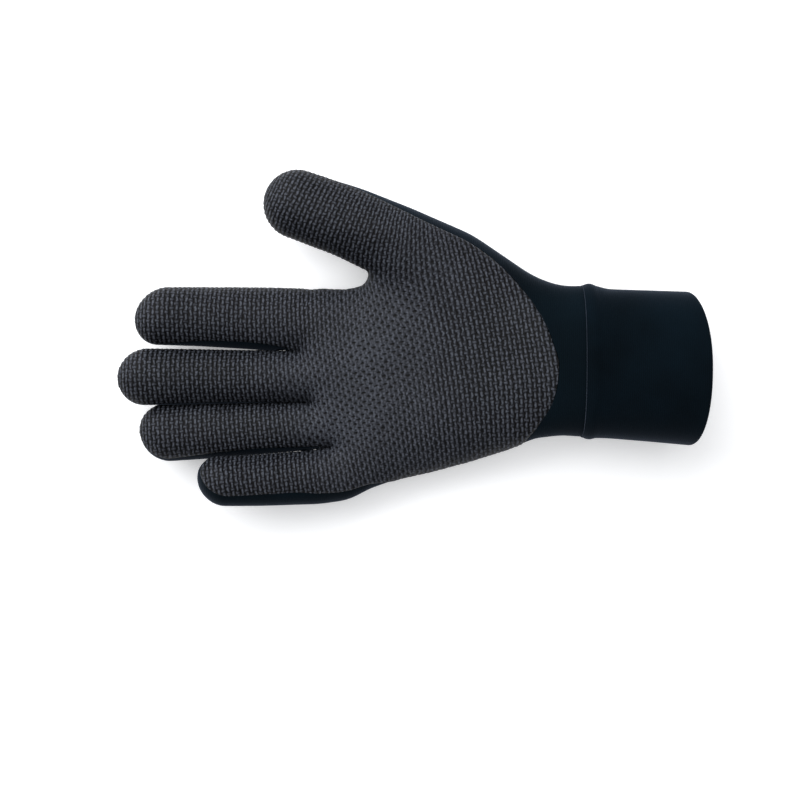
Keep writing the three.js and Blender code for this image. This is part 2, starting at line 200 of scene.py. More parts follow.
class Chain:
    """A tube through sections, each with its centre, its half sizes and its seam."""

    def __init__(self, centres, half_widths, half_depths, squares, seams, dents=None, turns=0.0,
                 upright=False, front=None, rear=None, samples=64, softness=4):
        centres = np.array(centres, float)
        steps = np.linalg.norm(np.diff(centres, axis=0), axis=1)
        place = np.concatenate([[0.0], np.cumsum(steps)]) / steps.sum()
        fine = np.linspace(0, 1, samples)

        def eased(values):
            return softened(np.interp(fine, place, np.array(values, float)), softness)

        self.centre = np.stack([eased(centres[:, i]) for i in range(3)], axis=1)
        self.wide = eased(half_widths)
        self.deep = eased(half_depths)
        self.square = eased(squares)
        self.dent = eased(dents if dents is not None else np.zeros(len(centres)))
        self.seams = np.stack([eased([s[i] for s in seams]) for i in range(2)], axis=1)
        if upright:
            self.ahead = np.tile([1.0, 0, 0], (samples, 1))
            self.side = np.tile([0, 1.0, 0], (samples, 1))
        else:
            self.ahead = unit(np.gradient(self.centre, axis=0))
            self.side = unit(np.cross([0, 0, 1.0], self.ahead))
            up = np.cross(self.ahead, self.side)
            turn = math.radians(turns)
            self.side = unit(self.side * math.cos(turn) + up * math.sin(turn))
        self.up = np.cross(self.ahead, self.side)
        self.front = front
        self.rear = rear
        margin = FAR / 2
        reach = np.maximum(self.wide, self.deep).max() + margin
        self.low = self.centre.min(0) - reach
        self.high = self.centre.max(0) + reach

    def locate(self, points):
        """Place along the chain, and the point's coordinates in the section there."""
        along = points @ self.ahead.T - np.sum(self.centre * self.ahead, axis=1)
        last = len(self.centre) - 1
        index = np.clip((along >= 0).sum(axis=1) - 1, 0, last - 1)
        rows = np.arange(len(points))
        here, following = along[rows, index], along[rows, index + 1]
        share = np.clip(here / np.maximum(here - following, 1e-6), 0, 1)
        overrun = np.where(along[:, 0] < 0, -along[:, 0], 0)
        overrun_rear = np.where(along[:, last] > 0, along[:, last], 0)

        def mix(table):
            weight = share if table.ndim == 1 else share[:, None]
            return table[index] * (1 - weight) + table[index + 1] * weight

        offset = points - mix(self.centre)
        across = np.sum(offset * mix(self.side), axis=1)
        above = np.sum(offset * mix(self.up), axis=1)
        return mix, across, above, overrun, overrun_rear

    def distance(self, points):
        mix, across, above, before, beyond = self.locate(points)
        wide, deep, power, dent = (mix(t) for t in (self.wide, self.deep, self.square, self.dent))
        x = np.abs(across) / wide
        lifted = above + dent * np.clip(1 - x**2, 0, 1) ** 2 * np.clip(above / deep, 0, 1)
        y = np.abs(lifted) / deep
        size = np.maximum((x**power + y**power) ** (1 / power), 1e-4)
        slope = np.sqrt(
            (size ** (1 - power) * x ** (power - 1) / wide) ** 2
            + (size ** (1 - power) * y ** (power - 1) / deep) ** 2
        )
        over = np.zeros(len(points))
        reach = np.ones(len(points))
        if self.front:
            over, reach = before, np.where(before > 0, self.front, reach)
        if self.rear:
            over, reach = over + beyond, np.where(beyond > 0, self.rear, reach)
        total = np.sqrt(size**2 + (over / reach) ** 2)
        steep = np.sqrt((size * slope / total) ** 2 + (over / (reach**2 * total)) ** 2)
        return (total - 1) / np.maximum(steep, 1e-4)

    def above_seam(self, points):
        """Height above the line from seam to seam of the section, in millimetres."""
        mix, across, above, _, _ = self.locate(points)
        wide, deep, power = mix(self.wide), mix(self.deep), mix(self.square)
        angles = np.radians(mix(self.seams))
        cosine, sine = np.cos(angles), np.sin(angles)
        ends_x = np.sign(cosine) * np.abs(cosine) ** (2 / power[:, None]) * wide[:, None]
        ends_y = np.sign(sine) * np.abs(sine) ** (2 / power[:, None]) * deep[:, None]
        run = ends_x[:, 0] - ends_x[:, 1]
        rise = (ends_y[:, 0] - ends_y[:, 1]) / run
        height = above - ends_y[:, 1] - rise * (across - ends_x[:, 1])
        return height / np.sqrt(1 + rise**2)


def finger_chain(row, spread):
    (length, setback, root_across, tip_across, root_wide, tip_wide, bow, lift, rise, turn,
     seam_thumb, seam_little, seam_tip) = row
    tip_half = (tip_wide * FINGER_WIDTH - FINGER_SLIT) / 2
    reach = length - tip_half
    root = setback * HAND_LENGTH
    centres, wides, seams = [], [], []
    for along, to_tip, spacing, seam in FINGER_SECTIONS:
        bulge = bow * 4 * along * (1 - along) if along > 0 else 0
        across = (root_across + (tip_across - root_across) * along) * spacing
        wide = root_wide + (tip_wide - root_wide) * to_tip
        x = root - along * reach
        centres.append((
            x,
            FINGER_WIDTH * (across + bulge) + spread_offset(x, spread),
            lift * PALM_DEPTH + rise * length * max(along, 0) ** 1.5,
        ))
        wides.append((wide * FINGER_WIDTH - FINGER_SLIT) / 2)
        left = seam * (1 + (seam_tip - 1) * max(along, 0) ** 4)
        seams.append((seam_thumb, 180 + (seam_little - 180) * left))
    return Chain(centres, wides, [FINGER_DEPTH / 2] * 5, [FINGER_SQUARE] * 5, seams,
                 turns=turn, front=tip_half, rear=tip_half)


# How far each finger is turned aside while the net is made, in steps from the middle of the hand
SPREADS = [1.5, 0.5, -0.5, -1.5]
SPREAD_START = 12.0
SPREAD_EASE = 15.0


def spread_offset(x, steps):
    """Sideways offset of a finger at x: none in the palm, and growing towards the tip."""
    run = np.maximum(SPREAD_START - x, 0)
    return steps * SPREAD_STEP * run * run / (run + SPREAD_EASE)


def thumb_chain():
    rows = THUMB_SECTIONS
    centres = [(a * THUMB_RUN - THUMB_LEAD, THUMB_SPREAD - d * THUMB_DROP, h * THUMB_HEIGHT)
               for a, d, w, e, h, s, t in rows]
    return Chain(
        centres,
        [w * THUMB_WIDTH / 2 for a, d, w, e, h, s, t in rows],
        [e * THUMB_DEPTH / 2 for a, d, w, e, h, s, t in rows],
        [FINGER_SQUARE] * len(rows),
        [(s, t) for a, d, w, e, h, s, t in rows],
        front=THUMB_WIDTH / 2, rear=THUMB_WIDTH,
    )


def palm_chain():
    centres, wides, deeps, seams = [], [], [], []
    for along, thumb, little, low, high, dent, square, seam in PALM_SECTIONS:
        centres.append((along * HAND_LENGTH, (thumb + little) / 2 * PALM_WIDTH,
                        (low + high) / 2 * PALM_DEPTH))
        wides.append((thumb - little) / 2 * PALM_WIDTH)
        deeps.append((high - low) / 2 * PALM_DEPTH)
        seams.append((PALM_SEAM_FRONT + (PALM_SEAM_REAR - PALM_SEAM_FRONT) * along**3, seam))
    return Chain(centres, wides, deeps, [r[6] for r in PALM_SECTIONS], seams,
                 dents=[r[5] * PALM_HOLLOW for r in PALM_SECTIONS], upright=True, front=4.0,
                 samples=110, softness=3)


def soft_min(a, b, width):
    overlap = np.maximum(width - np.abs(a - b), 0) / width
    return np.minimum(a, b) - overlap**2 * width / 4


class Hand:
    def __init__(self):
        self.fingers = [finger_chain(row, steps) for row, steps in zip(FINGERS, SPREADS)]
        self.thumb = thumb_chain()
        self.palm = palm_chain()
        self.chains = [*self.fingers, self.thumb, self.palm]

    def distances(self, points):
        table = np.full((len(self.chains), len(points)), FAR)
        for row, chain in zip(table, self.chains):
            near = np.all((points > chain.low) & (points < chain.high), axis=1)
            row[near] = np.minimum(chain.distance(points[near]), FAR)
        return table

    def field(self, points):
        table = self.distances(points)
        fingers = table[:4].min(axis=0)
        body = soft_min(table[5], fingers, FINGER_BLEND)
        return soft_min(body, table[4], THUMB_BLEND)

    def gradient(self, points, step=0.15):
        slope = np.empty_like(points)
        for axis in range(3):
            shift = np.zeros(3)
            shift[axis] = step
            slope[:, axis] = (self.field(points + shift) - self.field(points - shift)) / (2 * step)
        return slope

    def settle(self, points, rounds=2):
        """Moves points onto the skin."""
        for _ in range(rounds):
            slope = self.gradient(points)
            steep = np.maximum(np.sum(slope**2, axis=1), 0.05)
            move = (self.field(points) / steep)[:, None] * slope
            long = np.linalg.norm(move, axis=1, keepdims=True)
            points = points - move * np.minimum(1, LONGEST_MOVE / np.maximum(long, 1e-9))
        return points


def in_chunks(function, points, size=120000):
    return np.concatenate([function(points[i:i + size]) for i in range(0, len(points), size)])


def surface_net(values, origin, step):
    """Closed quads where a field on a grid changes sign."""
    inside = values < 0
    cells = tuple(n - 1 for n in values.shape)
    total = np.zeros((*cells, 3))
    count = np.zeros(cells)
    crossings = []
    for axis in range(3):
        others = [i for i in range(3) if i != axis]
        low = tuple(slice(None, -1) if i == axis else slice(None) for i in range(3))
        high = tuple(slice(1, None) if i == axis else slice(None) for i in range(3))
        a, b = values[low], values[high]
        cross = inside[low] != inside[high]
        with np.errstate(divide="ignore", invalid="ignore"):
            share = np.where(cross, a / (a - b), 0)
        crossings.append((cross, inside[low]))
        for d0 in (0, 1):
            for d1 in (0, 1):
                pick = [slice(None)] * 3
                pick[others[0]] = slice(d0, d0 + cells[others[0]])
                pick[others[1]] = slice(d1, d1 + cells[others[1]])
                picked = cross[tuple(pick)]
                total[..., axis] += np.where(picked, share[tuple(pick)], 0)
                total[..., others[0]] += picked * d0
                total[..., others[1]] += picked * d1
                count += picked
    used = count > 0
    number = np.full(cells, -1)
    number[used] = np.arange(used.sum())
    corner = np.argwhere(used)
    points = origin + step * (corner + total[used] / count[used][:, None])
    quads = []
    for axis in range(3):
        cross, starts_inside = crossings[axis]
        o1, o2 = [(1, 2), (2, 0), (0, 1)][axis]
        at = np.argwhere(cross)
        keep = np.all((at[:, [o1, o2]] > 0), axis=1)
        keep &= (at[:, o1] < cells[o1]) & (at[:, o2] < cells[o2])
        at = at[keep]
        ring = []
        for s1, s2 in ((-1, -1), (0, -1), (0, 0), (-1, 0)):
            cell = at.copy()
            cell[:, o1] += s1
            cell[:, o2] += s2
            ring.append(number[cell[:, 0], cell[:, 1], cell[:, 2]])
        ring = np.stack(ring, axis=1)
        flip = ~starts_inside[at[:, 0], at[:, 1], at[:, 2]]
        ring[flip] = ring[flip][:, ::-1]
        quads.append(ring)
    return points, np.concatenate(quads)


def halves(quads, points):
    """Each quad as two triangles, along its shorter diagonal."""
    a, b, c, d = (points[quads[:, i]] for i in range(4))
    short = np.linalg.norm(a - c, axis=1) < np.linalg.norm(b - d, axis=1)
    first = np.where(short[:, None], quads[:, [0, 1, 2]], quads[:, [0, 1, 3]])
    second = np.where(short[:, None], quads[:, [0, 2, 3]], quads[:, [1, 2, 3]])
    return np.concatenate([first, second])


def edges_of(triangles):
    edges = np.concatenate([triangles[:, [0, 1]], triangles[:, [1, 2]], triangles[:, [2, 0]]])
    return np.unique(np.sort(edges, axis=1), axis=0)


def neighbours(triangles, count):
    """Every edge both ways round, and how many edges each point has."""
    edges = edges_of(triangles)
    both = np.concatenate([edges, edges[:, ::-1]])
    return both, np.bincount(both[:, 0], minlength=count)


def spread_sum(index, values, count):
    if values.ndim == 1:
        return np.bincount(index, values, count)
    return np.stack([np.bincount(index, values[:, i], count) for i in range(values.shape[1])], axis=1)


def normals_of(points, triangles):
    a, b, c = (points[triangles[:, i]] for i in range(3))
    face = np.cross(b - a, c - a)
    total = sum(spread_sum(triangles[:, i], face, len(points)) for i in range(3))
    return unit(total)


def relaxed(points, triangles, hand, rounds, share=0.5):
    """Evens out the net within the skin."""
    both, valence = neighbours(triangles, len(points))
    for _ in range(rounds):
        mean = spread_sum(both[:, 0], points[both[:, 1]], len(points)) / valence[:, None]
        normal = normals_of(points, triangles)
        move = mean - points
        move -= np.sum(move * normal, axis=1, keepdims=True) * normal
        points = points + share * move
    return hand.settle(points, 2)


def faired(points, triangles, shares, rounds=FAIR_ROUNDS):
    """Heights evened out like a stretched sheet, where the share is above 0."""
    both, valence = neighbours(triangles, len(points))
    heights = points[:, 2].copy()
    for _ in range(rounds):
        mean = np.bincount(both[:, 0], heights[both[:, 1]], len(points)) / valence
        heights += 0.6 * shares * (mean - heights)
    out = points.copy()
    out[:, 2] = heights
    return out


def hand_skin(hand):
    """The whole outer skin of the hand, with the fingers spread."""
    low = np.array([-92.0, -78.0, -4.0])
    high = np.array([136.5, 100.0, 50.0])
    counts = np.ceil((high - low) / NET_STEP).astype(int)
    axes = [low[i] + NET_STEP * np.arange(counts[i]) for i in range(3)]
    grid = np.stack(np.meshgrid(*axes, indexing="ij"), axis=-1).reshape(-1, 3)
    values = in_chunks(hand.field, grid)
    points, quads = surface_net(values.reshape(counts), low, NET_STEP)
    triangles = halves(quads, points)
    points = hand.settle(points, 2)
    points = relaxed(points, triangles, hand, 6)
    return points, triangles


def heel_curve():
    """Rear edge of the panel as a fine polyline, from the thumb's side."""
    knots = np.array(HEEL_EDGE) * [HAND_LENGTH, PALM_WIDTH]
    path = np.concatenate([[2 * knots[0] - knots[1]], knots, [2 * knots[-1] - knots[-2]]])
    path[0] += path[0] - knots[1]
    out = []
    for i in range(1, len(path) - 2):
        p0, p1, p2, p3 = path[i - 1:i + 3]
        for t in np.linspace(0, 1, 12, endpoint=False):
            out.append(0.5 * (2 * p1 + (p2 - p0) * t + (2 * p0 - 5 * p1 + 4 * p2 - p3) * t**2
                              + (3 * p1 - p0 - 3 * p2 + p3) * t**3))
    return np.array([*out, knots[-1]])


def ahead_of_heel(points):
    """Distance in plan to the rear edge, positive on the fingers' side."""
    curve = heel_curve()
    start = curve[0] + (curve[0] - curve[3]) * 30
    end = curve[-1] + (curve[-1] - curve[-4]) * 30
    path = np.concatenate([[start], curve, [end]])
    plan = points[:, :2]
    best = np.full(len(plan), 1e9)
    sign = np.ones(len(plan))
    for a, b in zip(path[:-1], path[1:]):
        run = b - a
        share = np.clip(((plan - a) @ run) / (run @ run), 0, 1)
        gap = plan - (a + share[:, None] * run)
        far = np.linalg.norm(gap, axis=1)
        side = gap[:, 0] * run[1] - gap[:, 1] * run[0]
        closer = far < best
        best[closer] = far[closer]
        sign[closer] = np.sign(side[closer])
    return best * sign


def panel_depth(hand, points):
    """How far inside the grip panel's outline a point of the skin lies, less than 0 outside."""
    table = hand.distances(points)
    heights = np.stack([chain.above_seam(points) for chain in hand.chains])
    nearest = table.min(axis=0)
    weights = np.exp(-(table - nearest) / SEAM_MIX)
    weights[table > FAR - 1] = 0
    height = np.sum(weights * heights, axis=0) / weights.sum(axis=0)
    heel = ahead_of_heel(points)
    return soft_min(height, heel, HEEL_ROUND)


def evened(values, triangles, rounds):
    """The values averaged with their neighbours on the skin, so that a line cut through them is smooth."""
    both, valence = neighbours(triangles, len(values))
    for _ in range(rounds):
        values = (values + np.bincount(both[:, 0], values[both[:, 1]], len(values)) / valence) / 2
    return values


def cut_skin(points, triangles, depth, snap=0.12):
    """Splits the triangles along depth = 0. Returns new points, triangles and which side each is on."""
    depth = np.where(np.abs(depth) < snap, 0.0, depth)
    edges = edges_of(triangles)
    da, db = depth[edges[:, 0]], depth[edges[:, 1]]
    crossed = da * db < 0
    cut_edges = edges[crossed]
    share = (da[crossed] / (da - db)[crossed])[:, None]
    middles = points[cut_edges[:, 0]] * (1 - share) + points[cut_edges[:, 1]] * share
    first = len(points)
    place = {(a, b): first + i for i, (a, b) in enumerate(map(tuple, cut_edges.tolist()))}
    points = np.concatenate([points, middles])
    depth = np.concatenate([depth, np.zeros(len(middles))])
    kept, inside = [], []
    signs = np.sign(depth[triangles])
    whole = ~((signs.max(axis=1) > 0) & (signs.min(axis=1) < 0))
    kept.append(triangles[whole])
    inside.append(signs[whole].sum(axis=1) > 0)
    extra, extra_in = [], []
    for tri in triangles[~whole].tolist():
        s = [int(np.sign(depth[v])) for v in tri]
        loop, flags = [], []
        for i in range(3):
            a, b = tri[i], tri[(i + 1) % 3]
            loop.append(a)
            flags.append(s[i])
            if s[i] * s[(i + 1) % 3] < 0:
                loop.append(place[(min(a, b), max(a, b))])
                flags.append(0)
        for side in (1, -1):
            part = [v for v, f in zip(loop, flags) if f in (0, side)]
            for i in range(1, len(part) - 1):
                extra.append((part[0], part[i], part[i + 1]))
                extra_in.append(side > 0)
    if extra:
        kept.append(np.array(extra))
        inside.append(np.array(extra_in))
    return points, np.concatenate(kept), np.concatenate(inside), depth


def refined(points, triangles):
    """Each triangle in four. Also the new point on each old edge."""
    edges = edges_of(triangles)
    size = len(points)
    keys = edges[:, 0] * size + edges[:, 1]
    middles = (points[edges[:, 0]] + points[edges[:, 1]]) / 2

    def middle(a, b):
        low, high = np.minimum(a, b), np.maximum(a, b)
        return size + np.searchsorted(keys, low * size + high)

    a, b, c = triangles.T
    ab, bc, ca = middle(a, b), middle(b, c), middle(c, a)
    fine = np.concatenate([np.stack(t, axis=1) for t in
                           ((a, ab, ca), (ab, b, bc), (ca, bc, c), (ab, bc, ca))])
    return np.concatenate([points, middles]), fine, middle


def used_only(points, triangles, *tables):
    used = np.unique(triangles)
    number = np.full(len(points), -1)
    number[used] = np.arange(len(used))
    return (points[used], number[triangles], *(table[used] for table in tables))


def border_of(triangles, count):
    """Directed edges that only one triangle has."""
    edges = np.concatenate([triangles[:, [0, 1]], triangles[:, [1, 2]], triangles[:, [2, 0]]])
    keys = edges[:, 0] * count + edges[:, 1]
    twins = edges[:, 1] * count + edges[:, 0]
    return edges[~np.isin(keys, twins)]


def gathered(points):
    """Turns the spread fingers back to their places, and lays what sinks below the floor flat on it."""
    x, y = points[:, 0], points[:, 1]
    one = spread_offset(x, 1)
    lanes = []
    for row, steps in zip(FINGERS, SPREADS):
        length, setback, root_across, tip_across = row[:4]
        along = np.clip((setback * HAND_LENGTH - x) / length, 0, 1)
        lanes.append(FINGER_WIDTH * (root_across + (tip_across - root_across) * along) + steps * one)
    near = np.argmin(np.abs(np.array(lanes) - y), axis=0)
    steps = np.array(SPREADS)[near]
    thumb = y > FINGER_WIDTH * 1.75 + 1.5 * one
    out = points.copy()
    out[:, 1] -= np.where(thumb, 0, steps * one)
    out[:, 2] = (out[:, 2] + np.sqrt(out[:, 2] ** 2 + FLOOR_EASE**2)) / 2
    return out


# How the weave lies on the hand, seen from above: place, turn of its columns and of its rows in degrees,
# stretch across the columns and across the rows, and how far the rows lead over the columns
WEAVE_LIES = np.array([
    (-68, 29, 0, 0, 1.07, 1, 0), (-35, 29, -2, -4, 1, 1, 0), (0, 27, 0, 4, 0.97, 1, 0.1),
    (-78, 0, 1, 2, 1.06, 1, 0), (-32, 0, 0, -1, 1.01, 1, 0), (5, 0, 8, 11, 0.98, 1, 0.7),
    (-62, -25, 3, 3, 1.06, 1, 0), (-20, -25, 5, 5, 1.01, 1, 0), (14, -25, 14, 15, 0.98, 1, 0.9),
    (-35, -47, 9, 9, 1.03, 0.96, 0), (-5, -46, 6, 6, 1, 1, 0), (30, -42, 12, 10, 1, 1, 0.4),
    (-15, 86, -25, -22, 1.02, 0.98, 0), (5, 78, -28, -26, 1.06, 0.97, 0), (22, 69, -29, -26, 1.03, 0.94, 0),
    (36, 62, -33, -24, 1, 0.92, 0), (46, 57, -8, 0, 1.05, 1, 0.3), (61, 59, 28, 12, 1.1, 1.1, 0.4),
    (66, 45, 20, 18, 1.13, 1.1, 0.45), (80, 55, 20, 12, 1.1, 1.12, 0.2), (19, 27, 2, 12, 0.96, 0.92, 0.6),
    (33, 31, 8, 17, 0.96, 0.94, 0.9), (33, 10, 13, 18, 1.02, 0.94, 1), (33, -10, 12, 16, 1, 0.93, 1),
    (33, -27, 8, 12, 1, 0.96, 0.9), (52, 31, 18, 21, 1.06, 1.02, 1), (52, 10, 11, 18, 1.05, 1.01, 0.9),
    (52, -10, 6, 13, 1.03, 1, 0.7), (54, -27, 7, 9, 1.04, 1.05, 0.5), (70, 24, 13, 16, 1.08, 1.12, 0.2),
    (71, 0, 8, 11, 1.07, 1.1, 0.15), (70, -24, 5, 8, 1.06, 1.05, 0.3), (86, 40, 16, 10, 1.08, 1.18, 0),
    (89, 15, 10, 8, 1.09, 1.19, 0), (89, -12, 4, 6, 1.09, 1.12, 0.1), (104, 14, 11, 4, 1.02, 1.18, 0),
    (103, -14, 2, 4, 1.03, 1.12, 0),
])


# How softly one place of the table passes into the next, in cubic millimetres
LIE_BLEND = 500.0
# Most rounds in which the layout of the weave is solved
LAYOUT_ROUNDS = 700


def weave_lie(points):
    """The last five columns of the table at each point."""
    gap = np.linalg.norm(points[:, None, :2] - WEAVE_LIES[None, :, :2], axis=2)
    weight = 1 / (gap**3 + LIE_BLEND)
    return weight @ WEAVE_LIES[:, 2:] / weight.sum(axis=1, keepdims=True)


def weave_layout(points, triangles, normals):
    """The two coordinates of the weave over the panel, in millimetres of unstretched cloth."""
    column_turn, row_turn, column_pull, row_pull, _ = weave_lie(points).T
    targets = []
    for turn, pull in ((column_turn, column_pull), (row_turn + 90, row_pull)):
        angle = np.radians(turn)
        flat = np.stack([np.cos(angle), np.sin(angle), np.zeros(len(points))], axis=1)
        flat -= np.sum(flat * normals, axis=1, keepdims=True) * normals
        flat /= np.maximum(np.linalg.norm(flat, axis=1, keepdims=True), 0.35)
        targets.append(flat / pull[:, None])
    edges = edges_of(triangles)
    run = points[edges[:, 1]] - points[edges[:, 0]]
    both, valence = neighbours(triangles, len(points))
    layout = []
    for target in targets:
        wanted = np.sum(run * (target[edges[:, 0]] + target[edges[:, 1]]) / 2, axis=1)
        ends = (np.bincount(edges[:, i], wanted, len(points)) for i in (1, 0))
        load = next(ends) - next(ends)
        x = points @ target.mean(axis=0)
        residual = load - (valence * x - np.bincount(both[:, 0], x[both[:, 1]], len(points)))
        search = residual / valence
        old = residual @ search
        for _ in range(LAYOUT_ROUNDS):
            push = valence * search - np.bincount(both[:, 0], search[both[:, 1]], len(points))
            step = old / (search @ push)
            x += step * search
            residual -= step * push
            if np.abs(residual).max() < 1e-4:
                break
            scaled = residual / valence
            new = residual @ scaled
            search = scaled + new / old * search
            old = new
        layout.append(x - x[np.argmin(np.linalg.norm(points[:, :2], axis=1))])
    return np.stack(layout, axis=1)


def drawn_to_weave(points, triangles, layout, shares):
    """Moves the points along the skin towards the crests and flanks of the bars, so that the relief shows
    evenly on a net of this step. Returns the points and their new places in the weave."""
    a, b, c = (points[triangles[:, i]] for i in range(3))
    face = np.cross(b - a, c - a)
    double = np.linalg.norm(face, axis=1, keepdims=True)
    upright = face / np.maximum(double, 1e-9)
    slopes = []
    for values in layout.T:
        va, vb, vc = (values[triangles[:, i]][:, None] for i in range(3))
        slope = np.cross(upright, va * (c - b) + vb * (a - c) + vc * (b - a))
        total = sum(spread_sum(triangles[:, i], slope, len(points)) for i in range(3))
        area = sum(spread_sum(triangles[:, i], double[:, 0], len(points)) for i in range(3))
        slopes.append(total / area[:, None])
    across, along = slopes
    shift = []
    for values, pitch in zip(layout.T, (COLUMN_PITCH, ROW_PITCH)):
        step = pitch / 3
        nearest = (np.round(values / step - 0.5) + 0.5) * step
        shift.append(WEAVE_DRAW * shares * (nearest - values))
    aa, bb, ab = (np.sum(p * q, axis=1) for p, q in ((across, across), (along, along), (across, along)))
    area = np.maximum(aa * bb - ab * ab, 0.3)
    first = (bb * shift[0] - ab * shift[1]) / area
    second = (aa * shift[1] - ab * shift[0]) / area
    move = first[:, None] * across + second[:, None] * along
    return points + move, layout + np.stack(shift, axis=1)


# Edges are shaded smooth below this angle, in degrees
SHARP_FROM = 60


def mesh_object(name, points, faces):
    """A piece of the glove, moved from the hand's coordinates into the row's frame."""
    mesh = bpy.data.meshes.new(name)
    mesh.from_pydata(((points + ROW_SHIFT) * MM).tolist(), [], faces)
    mesh.update()
    mesh.shade_smooth()
    mesh.set_sharp_from_angle(angle=math.radians(SHARP_FROM))
    made = bpy.data.objects.new(name, mesh)
    bpy.context.scene.collection.objects.link(made)
    return made


def put_values(mesh, name, values):
    """An attribute with a number or a vector for each vertex."""
    kind, field = ("FLOAT", "value") if values.ndim == 1 else ("FLOAT_VECTOR", "vector")
    attribute = mesh.attributes.new(name, kind, "POINT")
    attribute.data.foreach_set(field, values.astype(np.float32).ravel())


def put_layout(mesh, name, layout):
    """A UV map from one pair of numbers for each vertex."""
    layer = mesh.uv_layers.new(name=name)
    corners = np.zeros(len(mesh.loops), np.int32)
    mesh.loops.foreach_get("vertex_index", corners)
    layer.data.foreach_set("uv", layout[corners].astype(np.float32).ravel())


# Nodes


def add(tree, kind, settings=None, *values, links=None):
    """Adds a node with its settings, or with one word for its operation.

    The values go to its inputs in their order, and those in links to inputs by name or number. A value
    that is a node or a socket is linked, and any other is set. Stops are the colours of a ramp.
    """
    made = tree.nodes.new(kind)
    if isinstance(settings, str):
        settings = {"operation": settings}
    for key, value in (settings or {}).items():
        if key == "stops":
            set_stops(made.color_ramp, value)
        else:
            setattr(made, key, value)
    for key, value in (dict(enumerate(values)) | (links or {})).items():
        join(tree, value, made.inputs[key])
    return made


def join(tree, value, socket):
    """Links a node or a socket to the socket, or sets any other value on it."""
    if isinstance(value, bpy.types.Node):
        value = value.outputs[0]
    if isinstance(value, bpy.types.NodeSocket):
        tree.links.new(value, socket)
    else:
        socket.default_value = value


def set_stops(band, stops):
    """Gives a ramp its places and colours."""
    while len(band.elements) < len(stops):
        band.elements.new(0.5)
    for element, (place, colour) in zip(band.elements, stops):
        element.position = place
        element.color = linear(colour)


def linear(colour):
    """An sRGB hex colour as linear numbers."""
    parts = [(colour >> shift & 255) / 255 for shift in (16, 8, 0)]
    return (*(p / 12.92 if p <= 0.04045 else ((p + 0.055) / 1.055) ** 2.4 for p in parts), 1.0)


MATH = "ShaderNodeMath"
NOISE = "ShaderNodeTexNoise"


def weave_height(tree, across, along, lead):
    """Relief of the plain weave, 0 to 1. Long bars lie in the columns, and short ties pass over the
    columns between them. A tie dives steeply at one side of a bar, which leaves a pit there. Where the
    rows lead, the skin is smoother and the gaps between the rows show as short dashes."""
    spot = add(tree, "ShaderNodeCombineXYZ", None, across, along)
    wander = add(tree, NOISE, links={"Vector": spot, "Scale": WANDER_SCALE, "Detail": 1.0})
    sway = add(tree, "ShaderNodeSeparateXYZ", None, wander.outputs["Color"])

    def swayed(place, share, pitch):
        """Place in steps of the pitch, moved by the wander of the yarn."""
        moved = add(tree, MATH, "MULTIPLY_ADD", add(tree, MATH, "SUBTRACT", share, 0.5), UNEVEN, place)
        return add(tree, MATH, "DIVIDE", moved, pitch)

    def within(place):
        """Place in its own step, from -0.5 to 0.5."""
        return add(tree, MATH, "SUBTRACT", add(tree, MATH, "FRACT", place), 0.5)

    def mound(place, half, power):
        """1 in the middle, 0 from half on."""
        share = add(tree, MATH, "ABSOLUTE", add(tree, MATH, "DIVIDE", place, half))
        clamped = {"operation": "SUBTRACT", "use_clamp": True}
        return add(tree, MATH, clamped, 1.0, add(tree, MATH, "POWER", share, power))

    column = swayed(across, sway.outputs[0], COLUMN_PITCH)
    row = swayed(along, sway.outputs[1], ROW_PITCH)
    # Every other column is shifted by one row, half the length from bar to bar
    in_column = within(column)
    odd = add(tree, MATH, "FLOORED_MODULO", add(tree, MATH, "FLOOR", column), 2.0)
    in_bar = within(add(tree, MATH, "MULTIPLY", add(tree, MATH, "ADD", row, odd), 0.5))
    bar_width = mound(in_column, BAR_HALF_WIDTH, ROUND)
    bar = add(tree, MATH, "MULTIPLY", bar_width, mound(in_bar, BAR_HALF_LENGTH, BLUNT))
    # The tie lies half a length away from the bar
    in_tie = add(tree, MATH, "SUBTRACT", add(tree, MATH, "ABSOLUTE", in_bar), 0.5)
    tie_reach = mound(add(tree, MATH, "ADD", in_column, TIE_OFFSET), TIE_REACH, TIE_ROUND)
    tie = add(tree, MATH, "MULTIPLY", tie_reach, mound(in_tie, TIE_HALF, ROUND))
    low_tie = add(tree, MATH, "MULTIPLY", tie, TIE_HEIGHT)
    woven = add(tree, MATH, "SMOOTH_MAX", bar, low_tie, YARN_BLEND)
    # A dash lies in every other column of a gap between two rows
    gap = add(tree, MATH, "ADD", row, 0.5)
    in_pair = add(tree, MATH, "ADD", column, add(tree, MATH, "FLOOR", gap))
    in_dash = within(add(tree, MATH, "MULTIPLY", in_pair, 0.5))
    dash_width = mound(within(gap), DASH_HALF, ROUND)
    dash = add(tree, MATH, "MULTIPLY", dash_width, mound(in_dash, DASH_HALF, BLUNT))
    smooth = add(tree, MATH, "MULTIPLY_ADD", dash, -DASH_DEPTH, SMOOTH_LEVEL)
    share = add(tree, MATH, "MULTIPLY", lead, LEAD_SHARE)
    return add(tree, "ShaderNodeMix", {"data_type": "FLOAT"}, links={0: share, 2: woven, 3: smooth})


# Materials


def new_material(name):
    material = bpy.data.materials.new(name)
    material.use_nodes = True
    tree = material.node_tree
    tree.nodes.clear()
    shader = add(tree, "ShaderNodeBsdfPrincipled")
    add(tree, "ShaderNodeOutputMaterial", links={"Surface": shader.outputs["BSDF"]})
    return material, tree, shader


